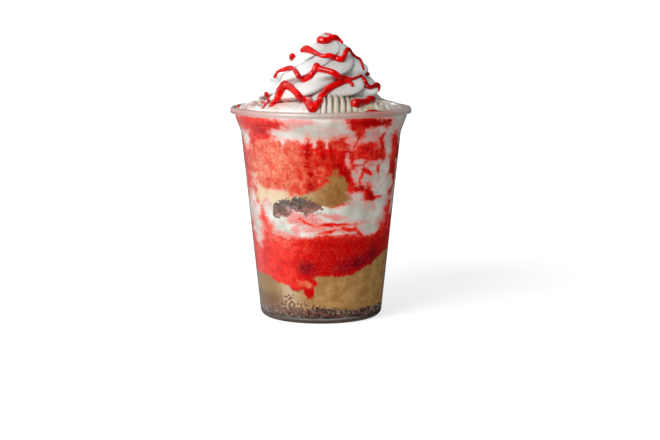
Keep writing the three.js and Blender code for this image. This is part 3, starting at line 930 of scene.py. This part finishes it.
def shaped_ball(name, segments, rings, place, **values):
    """A closed skin round a solid: a sheet that is wrapped round the axis and sewn at its seam and poles.

    place takes each point's azimuth and its ring, counted from the top pole to the bottom one. So do
    the values, which the mesh keeps as attributes of those names.
    """
    deselect()
    bpy.ops.mesh.primitive_grid_add(x_subdivisions=segments, y_subdivisions=rings, size=2)
    piece = named(name)
    at = positions(piece) * MM
    ring = np.rint((1 - at[:, 1]) / 2 * rings).astype(int)
    put(piece, place(at[:, 0] * math.pi, ring))
    for kind, value in values.items():
        kept = piece.data.attributes.new(kind, "FLOAT", "POINT")
        kept.data.foreach_set("value", value(at[:, 0] * math.pi, ring))
    bpy.ops.object.mode_set(mode="EDIT")
    bpy.ops.mesh.select_all(action="SELECT")
    bpy.ops.mesh.remove_doubles(threshold=0.0005 * MM)
    bpy.ops.mesh.dissolve_degenerate(threshold=0.0001 * MM)
    bpy.ops.mesh.normals_make_consistent(inside=False)
    bpy.ops.object.mode_set(mode="OBJECT")
    return piece


def grain(points, size):
    """Smooth noise between -1 and 1 at each point, with blotches of about that size."""
    return np.array([noise.noise(Vector(p)) for p in points / size])


def layer(name, bottom, top, relief=0.0):
    """A disc of filling between two boundaries, out to just inside the wall."""
    side_rows = max(4, round((top(0.0) - bottom(0.0)) / FILL_STEP))
    lid = [0, 0.4, 0.66, 0.86, 0.97]
    shares = np.array(lid + [1] * (side_rows + 1) + lid[::-1])
    levels = np.array([1] * len(lid) + [1 - i / side_rows for i in range(side_rows + 1)] + [0] * len(lid))
    kept_in_middle = 0.35

    def height(boundary, azimuth, share):
        middle = (boundary(0.0) + boundary(math.pi / 2) + boundary(math.pi)) / 3
        kept = kept_in_middle * share * (1 - share**2) + share**2
        return middle + (boundary(azimuth) - middle) * kept

    def place(azimuth, ring):
        share = shares[ring]
        z = height(bottom, azimuth, share)
        z = z + (height(top, azimuth, share) + LAP - z) * levels[ring]
        radius = share * (inner_radius(z) + INTO_WALL)
        points = around(azimuth, radius, z)
        if relief:
            pits = np.maximum(0, grain(points, 1.7) + 0.5 * grain(points, 0.8)) * relief * (share == 1)
            points = around(azimuth, radius - pits, z)
        return points

    return shaped_ball(name, ROUND, len(shares) - 1, place)


def room(name):
    """The inside of the cup, a little into the wall."""
    top = FILL_TOP + LAP
    corner = [FLOOR_TOP, FLOOR_TOP + 0.7, FLOOR_TOP + 2.6]
    heights = [*corner, *np.linspace(12, SHOULDER_Z, 12), NECK_Z, top]
    profile = [(1, FLOOR_TOP), *[(inner_radius(z) + INTO_WALL, z) for z in heights], (1, top)]
    return turned(name, profile, ROUND)


BAR_TURN = math.radians(-25)
BAR_LENGTH = 48
BAR_SQUARENESS = 3.2


def lump(name, half_width, bottom, top, crags):
    """A bar with soft square corners that runs right across the cup."""
    segments, rings = 160, 90
    middle, half = (top + bottom) / 2, (top - bottom) / 2

    def place(azimuth, ring):
        down = ring / rings * math.pi
        x, y, z = np.sin(down) * np.sin(azimuth), -np.sin(down) * np.cos(azimuth), np.cos(down)
        size = np.abs(x) ** BAR_SQUARENESS + np.abs(y) ** BAR_SQUARENESS + np.abs(z) ** BAR_SQUARENESS
        push = size ** (-1 / BAR_SQUARENESS)
        side, end = x * push, y * push
        sag = 5.5 * np.exp(-(((side - 0.12) / 0.3) ** 2)) * np.maximum(0, z)
        rough = 0.5 * np.sin(9 * side + 4 * end) + 0.5 * np.sin(7 * end + 3 * z)
        height = middle + z * push * half - sag + rough * 0.6
        points = np.stack([side * half_width + rough, end * BAR_LENGTH, height], axis=-1)
        points[:, 0] += crags * grain(points, 3)
        points[:, 2] += crags * grain(points + 40, 2.4)
        cos, sin = math.cos(BAR_TURN), math.sin(BAR_TURN)
        points[:, :2] = points[:, :2] @ np.array([[cos, -sin], [sin, cos]]).T
        return points

    return shaped_ball(name, segments, rings, place)


def pool(name, azimuth, span, middle_z, half, depth):
    """A pool of sauce under the rim, half of it beyond the wall."""
    segments, rings = 64, 32

    def place(around_pool, ring):
        down = ring / rings * math.pi
        x, y, z = np.sin(down) * np.sin(around_pool), np.sin(down) * np.cos(around_pool), np.cos(down)
        radius = outer_radius(middle_z) - depth * y
        height = middle_z + z * half + 0.5 * np.sin(6 * x)
        return around(math.radians(azimuth) + math.radians(span) * x, radius, height)

    return shaped_ball(name, segments, rings, place)


def make_fillings(finishes):
    crumb = layer("crumb_bed", lambda a: FLOOR_TOP + 0 * a, crumb_top, relief=0.55)
    cheesecake = layer("cheesecake_bed", crumb_top, cheesecake_top)
    sauce = layer("sauce_bed", cheesecake_top, sauce_top)
    cream = layer("cream_bed", sauce_top, cream_top)
    upper_sauce = layer("crushed_strawberries", cream_top, upper_sauce_top)
    upper_cream = layer("cream_top_layer", upper_sauce_top, lambda a: FILL_TOP - LAP + 0 * a)

    bar = lump("cheesecake_bar", half_width=27, bottom=61.6, top=82.6, crags=0.7)
    crust = lump("crumb_crust", half_width=13.5, bottom=57.1, top=66.6, crags=1.1)
    cut(bar, crust)
    for filling in (cream, upper_sauce):
        cut(filling, bar)
    cut(cream, crust)
    pockets = [pool(f"sauce_pocket_{number}", *shape) for number, shape in enumerate(POOLS, 1)]
    for pocket in pockets:
        cut(upper_cream, pocket)
    inside = room("inside")
    for piece in (bar, crust, *pockets):
        cut(piece, inside, "INTERSECT")
    drop(inside)

    for number, sauce_pool in enumerate(pockets, 1):
        dressed(sauce_pool, "strawberry_sauce", finishes["sauce"], f"sauce_pool_{number}")

    dressed(crumb, "crumb", finishes["crumb"], "crumb_base")
    dressed(cheesecake, "cheesecake", finishes["cheesecake"], "cheesecake_lower")
    dressed(sauce, "strawberry_sauce", finishes["sauce"], "strawberry_sauce_lower")
    dressed(cream, "cream", finishes["cream"], "cream_lower")
    dressed(crust, "crumb", finishes["crust"], "crumb_crust_upper")
    dressed(bar, "cheesecake", finishes["bar"], "cheesecake_upper")
    dressed(upper_sauce, "strawberry_sauce", finishes["sauce"], "strawberry_sauce_upper")
    dressed(upper_cream, "cream", finishes["cream"], "cream_upper")


# ---- Whipped cream ---------------------------------------------------------------------------------

SWIRL_OUTLINE = [
    (31.6, 3.4), (33.4, 7), (32.4, 13), (28.8, 20), (25.2, 27), (20.4, 33), (12.6, 39), (6, 43.6), (0, 46),
]
SWIRL_FOOT = PEAK_Z - SWIRL_OUTLINE[-1][1]
SWIRL_LOBES = 8
SWIRL_TURN = math.radians(235)
SWIRL_GROOVE = 0.17
SWIRL_DROOP = 1.9
SWIRL_COILS = 5
SWIRL_COIL = 0.045
SWIRL_COIL_START = 4.77
SKIRT_RIB = 3.1  # from one rib of the skirt to the next
SKIRT_RADIUS = NECK_RADIUS - WALL + INTO_WALL
SKIRT_EDGE = 112.2  # height of its edge
SKIRT_CROWN = 6.6  # how much higher its middle is
SKIRT_MOUND = 3.2  # how much higher still the front right is
SKIRT_SINK = 1.4  # how much lower both sides are


def along(turns, share):
    """Points on the smooth curve through the turning points, at those shares of its length."""
    turns = np.asarray(turns, float)
    place = np.clip(share, 0, 1) * (len(turns) - 1)
    i = np.minimum(place.astype(int), len(turns) - 2)
    t = (place - i)[..., None]
    before, start, end, after = (turns[np.clip(i + k, 0, len(turns) - 1)] for k in (-1, 0, 1, 2))
    out, back = (end - before) / 2, (after - start) / 2
    cubed, squared = 2 * start - 2 * end + out + back, 3 * end - 3 * start - 2 * out - back
    return cubed * t**3 + squared * t**2 + out * t + start


def wound(share):
    return SWIRL_TURN * share**0.8


def swirl_ridge(across):
    """0 in the folds of the swirl and 1 on its ridges."""
    return np.abs(np.sin(SWIRL_LOBES / 2 * (across + 0.09 * np.sin(2 * across)))) ** 0.75


def overhang(azimuth, share):
    """A slow swell outwards and a quick step back in, once a turn of the piped rope."""
    turn = azimuth - 2 * math.pi * SWIRL_COILS * share + SWIRL_COIL_START
    return np.sin(turn) - 0.3 * np.sin(2 * turn) + 0.08 * np.sin(3 * turn)


def swirl_point(azimuth, share):
    """The point of the swirl at an azimuth and a share of the way up its outline."""
    outline = along(SWIRL_OUTLINE, share)
    ridge = swirl_ridge(azimuth - wound(share))
    uneven = 1 + SWIRL_COIL * overhang(azimuth, share) + 0.02 * np.sin(3 * azimuth - 9 * share)
    radius = outline[..., 0] * (1 - SWIRL_GROOVE * (1 - ridge)) * uneven
    droop = SWIRL_DROOP * ridge * np.sin(math.pi * share)
    points = around(azimuth, np.maximum(radius, 0), SWIRL_FOOT + outline[..., 1] - droop)
    points[..., 0] += 4 * share**3 * (1 - ease(share, 0.93, 1.12))
    return points


def make_swirl():
    columns, rings = SWIRL_LOBES * 36, 200
    side = rings - 1

    def place(azimuth, ring):
        share = np.clip(1 - ring / side, 0, 1)
        points = swirl_point(azimuth + wound(share), share)
        points[ring == 0, 1] = 0
        soft = 0.35 * grain(points, 7) + 0.12 * grain(points + 50, 2.2)
        outward = points * (1, 1, 0)
        outward /= np.maximum(np.linalg.norm(outward, axis=1, keepdims=True), 1)
        points += outward * soft[:, None]
        points[ring == rings] = (0, 0, SWIRL_FOOT + 3.4)
        return points

    # the share of painted shade on the cream: most in the folds between the ridges and under each coil's
    # ledge
    def fold(azimuth, ring):
        share = np.clip(1 - ring / side, 0, 1)
        recess = np.maximum(0, -overhang(azimuth + wound(share), share))
        return (1 - swirl_ridge(azimuth)) ** 1.3 + 0.5 * recess

    return shaped_ball("whipped_cream_swirl", columns, rings, place, fold=fold)


def skirt_rib(x, y):
    """0 in the grooves between the skirt's ribs and 1 on their crests."""
    wander = x + 0.5 * sine(y / 5) + 0.35 * sine(x / 4 + 1)
    return abs(sine(wander * (math.pi / SKIRT_RIB))) ** 0.8


def ribbed(azimuth):
    """How far the skirt is ribbed at an azimuth: most at the front, just right of the middle."""
    front = least(1.7 * bump(azimuth, 11, 14), 1.0)
    return front + 0.5 * bump(azimuth, 52, 11) + 0.9 * bump(azimuth, 180, 34)


def curdled(azimuth):
    """How far the skirt is broken up into curds at an azimuth."""
    sides = bump(azimuth, -66, 26) + 0.7 * bump(azimuth, 76, 26)
    return sides + 0.8 * bump(azimuth, 128, 24) + 0.7 * bump(azimuth, 236, 30)


def make_skirt():
    """The bed of cream under the swirl: piped ribs, smooth at the front left and curdled at the sides."""
    shares = np.array([0, 0.5, *np.linspace(0.56, 1, 34), 1, 0.5, 0])
    under = len(shares) - 3

    def place(azimuth, ring):
        share = shares[ring]
        lumps = 0.8 * wave(azimuth, 5, 1) + 0.5 * wave(azimuth, 9, 0.3)
        sunk = SKIRT_SINK * (bump(azimuth, 90, 34) + bump(azimuth, -90, 34))
        mound = SKIRT_MOUND * least(1.4 * bump(azimuth, 24, 26), 1.0) - sunk
        crown = (SKIRT_CROWN + mound * ease(share, 0.3, 0.7)) * np.sqrt(np.maximum(0, 1 - share**4))
        edge = ease(share, 0.5, 0.72) * (1 - share**10)
        points = around(azimuth, share * SKIRT_RADIUS, SKIRT_EDGE + crown + 0.8 * lumps * edge)
        relief = 2.2 * (skirt_rib(points[:, 0], points[:, 1]) - 0.5) * ribbed(azimuth)
        relief = relief + curdled(azimuth) * (1.6 * grain(points, 4.2) + 0.9 * grain(points, 1.9))
        points[:, 2] += relief * edge
        points[ring >= under, 2] = FILL_TOP
        return points

    return shaped_ball("whipped_cream_bed", 864, len(shares) - 1, place)


# Strings of sauce as they are seen from EYE: how far right of the axis and how high they cross the
# upright plane through it, and their radius there
LONG_STRINGS = [
    [(-9.6, 143.6, 1.4), (-7.7, 144.1, 2.1), (-4.9, 143.1, 1.6), (-2.1, 141.9, 1.2), (1.2, 140.7, 1.1),
     (4.7, 140.9, 1.4), (7.4, 139.7, 1.6), (10.5, 138.5, 1.7), (12.4, 140.4, 1.3), (13.6, 143.8, 1.2),
     (14.9, 144.3, 1.0), (16.4, 142.3, 0.9), (18.4, 140.2, 0.9), (20.8, 138.9, 0.9), (21.9, 136.6, 0.8),
     (22.8, 133.7, 0.7)],
    [(-24.7, 129.9, 0.9), (-22.9, 132.2, 0.9), (-19.4, 133.5, 1.2), (-16.3, 134.5, 1.2), (-14.3, 133.5, 1.2),
     (-12.7, 131.1, 1.3), (-11.2, 129.1, 1.2), (-9.1, 127.5, 1.3), (-6.7, 129.1, 1.6), (-3.9, 131.8, 1.6),
     (-2.5, 135.7, 1.4), (-1, 133.7, 1.8), (2.6, 132.8, 1.6), (6.1, 131.8, 1.6), (9.5, 130.1, 1.6),
     (12.9, 128.7, 1.3), (16.4, 128.2, 0.9), (19.5, 129.4, 0.7), (21.6, 130.3, 0.7)],
    [(-26.7, 113.9, 1.3), (-24.3, 116.2, 1.5), (-22.6, 119.2, 1.9), (-21.2, 122.2, 2.4), (-20, 125.4, 1.7),
     (-18.4, 125.2, 2.2), (-16.8, 124, 2.0), (-14.4, 121.9, 1.6), (-11.7, 119.2, 1.8), (-8.6, 116.8, 2.1),
     (-6, 114.9, 2.4), (-4.6, 112, 2.2), (-2.4, 113.5, 1.9), (-0.3, 117, 1.8), (1.8, 120.2, 1.9),
     (4.2, 122.6, 1.9), (7.4, 124.6, 1.8), (10.9, 126.1, 1.5), (14, 127.1, 1.2), (16.1, 126.3, 1.0),
     (16.8, 124.9, 0.9)],
]
SHORT_STRINGS = [
    [(22.7, 129.1, 0.9), (23.6, 126.3, 1.4), (25.2, 123.8, 1.4), (27.4, 123.9, 1.1), (29.8, 125.1, 1.3),
     (31.1, 124.7, 1.0), (31.2, 122.5, 0.7)],
    [(-29.3, 120.4, 1.2), (-28.6, 118.7, 0.9), (-28.1, 116.3, 0.8), (-30, 114.6, 0.6), (-31.5, 112.5, 0.5)],
    [(18.5, 114.8, 2.4), (21.2, 115.2, 2.0), (24, 115.6, 1.7), (26.8, 116.9, 2.1), (28.1, 116.2, 1.4)],
    [(-0.1, 148.9, 2.0), (2.3, 148.6, 2.0), (4.7, 149.6, 1.6), (7.1, 150.6, 1.5), (9.1, 149.6, 1.2),
     (11.2, 147.9, 0.8)],
    [(2.3, 152.8, 0.5), (5, 152, 0.7), (7.6, 151, 0.9)],
    [(23, 110.2, 0.5), (26.1, 110.8, 1.0), (29.6, 110.8, 1.0), (32.9, 110.1, 0.5)],
    [(-15.3, 140.3, 1.5), (-15.3, 140.7, 1.6)],
    [(24.4, 130.6, 1.1), (24.2, 130.9, 1.2)],
    [(-44.4, 113.6, 0.9), (-44.3, 113.5, 0.9)],
    [(-32.2, 115.9, 0.5), (-31, 115.5, 0.7)],
]
# strings that come again at the back: how far they are turned, which they are and how many of their points
BACK_STRINGS = [(158, 0, 11), (136, 3, 7), (172, 1, 17), (172, 2, 19)]
FULLER = 1.12  # what smoothing takes off a string
LONGEST_STEP = 12  # a string that would leap further than this to a fold behind stays on its own


def string_path(surface, turns, angle):
    """Places along a string on the cream, each with the string's radius there."""
    rotation = Matrix.Rotation(math.radians(angle), 3, "Z")
    eye = rotation @ Vector(EYE)
    path = []
    spot, before = None, None
    for x, z, radius in along(turns, np.linspace(0, 1, 5 * (len(turns) - 1) + 1)):
        crossing = rotation @ Vector((x, 0, z))
        expected = spot + crossing - before if path else crossing
        spot, normal, _, _ = surface.ray_cast(eye, crossing - eye)
        if spot is None or path and (spot - expected).length > LONGEST_STEP:
            spot, normal, _, _ = surface.find_nearest(expected)
        path.append((spot + normal * radius * 0.3, radius * FULLER))
        before = crossing
    return path


def sauce_tube(path):
    """A round tube through the places of a path, with its own radius at each."""
    curve = bpy.data.curves.new("string", "CURVE")
    curve.dimensions = "3D"
    curve.bevel_depth = 1
    curve.bevel_resolution = 3
    curve.use_fill_caps = True
    spline = curve.splines.new("POLY")
    spline.points.add(len(path) - 1)
    for point, (place, radius) in zip(spline.points, path):
        point.co = (*(place * MM), 1)
        point.radius = radius * MM
    tube = bpy.data.objects.new("string", curve)
    bpy.context.scene.collection.objects.link(tube)
    pick(tube)
    bpy.ops.object.convert(target="MESH")
    parts = [bpy.context.object]
    for place, radius in (path[0], path[-1]):
        deselect()
        bpy.ops.mesh.primitive_uv_sphere_add(
            segments=20, ring_count=12, radius=radius * MM, location=place * MM,
        )
        parts.append(bpy.context.object)
    pick(*parts)
    bpy.ops.object.join()
    return bpy.context.object


def make_drizzle(cream, finish):
    """All strings and drops of sauce, melted into one glossy piece."""
    cream.data.calc_loop_triangles()
    faces = [tuple(t.vertices) for t in cream.data.loop_triangles]
    surface = BVHTree.FromPolygons([Vector(p) for p in positions(cream)], faces)
    strings = LONG_STRINGS + SHORT_STRINGS
    paths = [string_path(surface, turns, 0) for turns in strings]
    paths += [string_path(surface, strings[i][:points], angle) for angle, i, points in BACK_STRINGS]
    parts = [sauce_tube(path) for path in paths]
    pick(*parts)
    bpy.ops.object.join()
    bpy.ops.object.transform_apply(location=True, rotation=True, scale=True)
    drizzle = named("sauce_drizzle")
    with_modifier(drizzle, "REMESH", mode="VOXEL", voxel_size=0.31 * MM)
    with_modifier(drizzle, "SMOOTH", factor=0.5, iterations=6)
    return dressed(drizzle, "strawberry_sauce", finish, "whipped_cream")


def make_topping(finishes):
    swirl = make_swirl()
    bed = make_skirt()
    cut(swirl, bed, "UNION")
    drop(bed)
    swirl.name = swirl.data.name = "whipped_cream_swirl"
    make_drizzle(swirl, finishes["drizzle"])
    dressed(swirl, "whipped_cream", finishes["whipped"], "whipped_cream")


# ---- Stage -----------------------------------------------------------------------------------------


def aimed(thing, target):
    direction = Vector(target) - thing.location
    thing.rotation_euler = direction.to_track_quat("-Z", "Y").to_euler()


def softbox(name, place, target, width, height, power, mirrored=True):
    lamp = bpy.data.lights.new(name, "AREA")
    lamp.shape = "RECTANGLE"
    lamp.size, lamp.size_y = width, height
    lamp.energy = power
    box = bpy.data.objects.new(name, lamp)
    bpy.context.scene.collection.objects.link(box)
    box.location = place
    box.visible_glossy = mirrored
    aimed(box, target)


def make_stage():
    """A white floor with soft shadows, a soft sky that is brighter on the left, and the lamps."""
    deselect()
    bpy.ops.mesh.primitive_plane_add(size=8)
    floor = named("floor")
    pale = Finish("pale_floor", Base_Color=(0.4, 0.4, 0.4), Roughness=0.7, Emission_Color=(1, 1, 1))
    seen = pale.node("ShaderNodeLightPath", output="Is Camera Ray")
    away = pale.vector("LENGTH", pale.node("ShaderNodeTexCoord", output="Object"), output="Value")
    pale.set(pale.shader.inputs["Emission Strength"], seen * (0.7 + ease(away, 0.1, 0.7) * 0.4))
    floor.data.materials.append(pale.material)
    floor.visible_glossy = False

    world = bpy.data.worlds.new("studio")
    bpy.context.scene.world = world
    world.use_nodes = True
    world.node_tree.nodes.clear()

    def add(kind, inputs, **settings):
        node = world.node_tree.nodes.new(kind)
        for setting, value in settings.items():
            setattr(node, setting, value)
        for key, value in inputs.items():
            if isinstance(value, bpy.types.NodeSocket):
                world.node_tree.links.new(value, node.inputs[key])
            else:
                node.inputs[key].default_value = value
        return node.outputs

    way = add("ShaderNodeTexCoord", {})["Generated"]

    def towards(side):
        """How far a ray looks that way, from minus 1 to 1."""
        return add("ShaderNodeVectorMath", {0: way, 1: side}, operation="DOT_PRODUCT")["Value"]

    def glow_between(amount, low, high, least_glow, most_glow, rise="LINEAR"):
        """A glow that grows from the least to the most while the amount goes from low to high."""
        steps = {0: amount, 1: low, 2: high, 3: least_glow, 4: most_glow}
        return add("ShaderNodeMapRange", steps, interpolation_type=rise)[0]

    leftward = towards((-0.85, -0.25, 0.45))
    glow = glow_between(leftward, -0.7, 0.9, 0.28, 0.5, rise="SMOOTHSTEP")
    light = add("ShaderNodeBackground", {0: (0.98, 0.99, 1, 1), 1: glow})[0]
    plain = add("ShaderNodeBackground", {0: (1, 1, 1, 1), 1: 1.05})[0]
    through_glow = glow_between(leftward, -0.9, 0.3, 0.25, 0.85)
    through = add("ShaderNodeBackground", {0: (1, 0.99, 0.98, 1), 1: through_glow})[0]
    shine_glow = glow_between(towards((-0.95, 0.1, 0.3)), 0.05, 0.95, 0.03, 0.9, rise="SMOOTHSTEP")
    shine = add("ShaderNodeBackground", {0: (1, 1, 1, 1), 1: shine_glow})[0]
    rays = add("ShaderNodeLightPath", {})
    mirrored = add("ShaderNodeMixShader", {0: rays["Is Glossy Ray"], 1: light, 2: shine})[0]
    bent = add("ShaderNodeMixShader", {0: rays["Is Transmission Ray"], 1: mirrored, 2: through})[0]
    both = add("ShaderNodeMixShader", {0: rays["Is Camera Ray"], 1: bent, 2: plain})[0]
    add("ShaderNodeOutputWorld", {0: both})

    middle = (0, 0, 0.08)
    softbox("key_light", (-0.62, -0.8, 0.72), middle, 0.6, 0.6, 14)
    softbox("fill_light", (0.95, -0.75, 0.25), middle, 0.9, 0.9, 3.2, mirrored=False)

    camera = bpy.data.objects.new("camera", bpy.data.cameras.new("camera"))
    bpy.context.scene.collection.objects.link(camera)
    camera.data.lens = LENS
    camera.data.sensor_width = SENSOR
    camera.data.clip_start = 10 * MM
    camera.location = metres(EYE)
    aimed(camera, metres(AIM))
    scene = bpy.context.scene
    scene.camera = camera
    scene.view_settings.view_transform = "Standard"
    scene.cycles.caustics_reflective = False
    scene.cycles.caustics_refractive = False


# ---- The sundae ------------------------------------------------------------------------------------


def main():
    pattern = fillings_pattern()
    finishes = {
        "sauce": filling_finish("strawberry_sauce", pattern, roughness=0.4),
        "cream": filling_finish("cream", pattern),
        "cheesecake": filling_finish("cheesecake", pattern),
        "bar": filling_finish("baked_cheesecake", pattern, bar=1.0),
        "crumb": filling_finish("crumb", pattern, roughness=0.8),
        "crust": filling_finish("crumb_crust", pattern, crust=1.0, roughness=0.8),
        "whipped": whipped_finish(),
        "drizzle": drizzle_finish(),
    }
    make_cup(plastic_finish())
    make_fillings(finishes)
    make_topping(finishes)
    make_stage()


main()
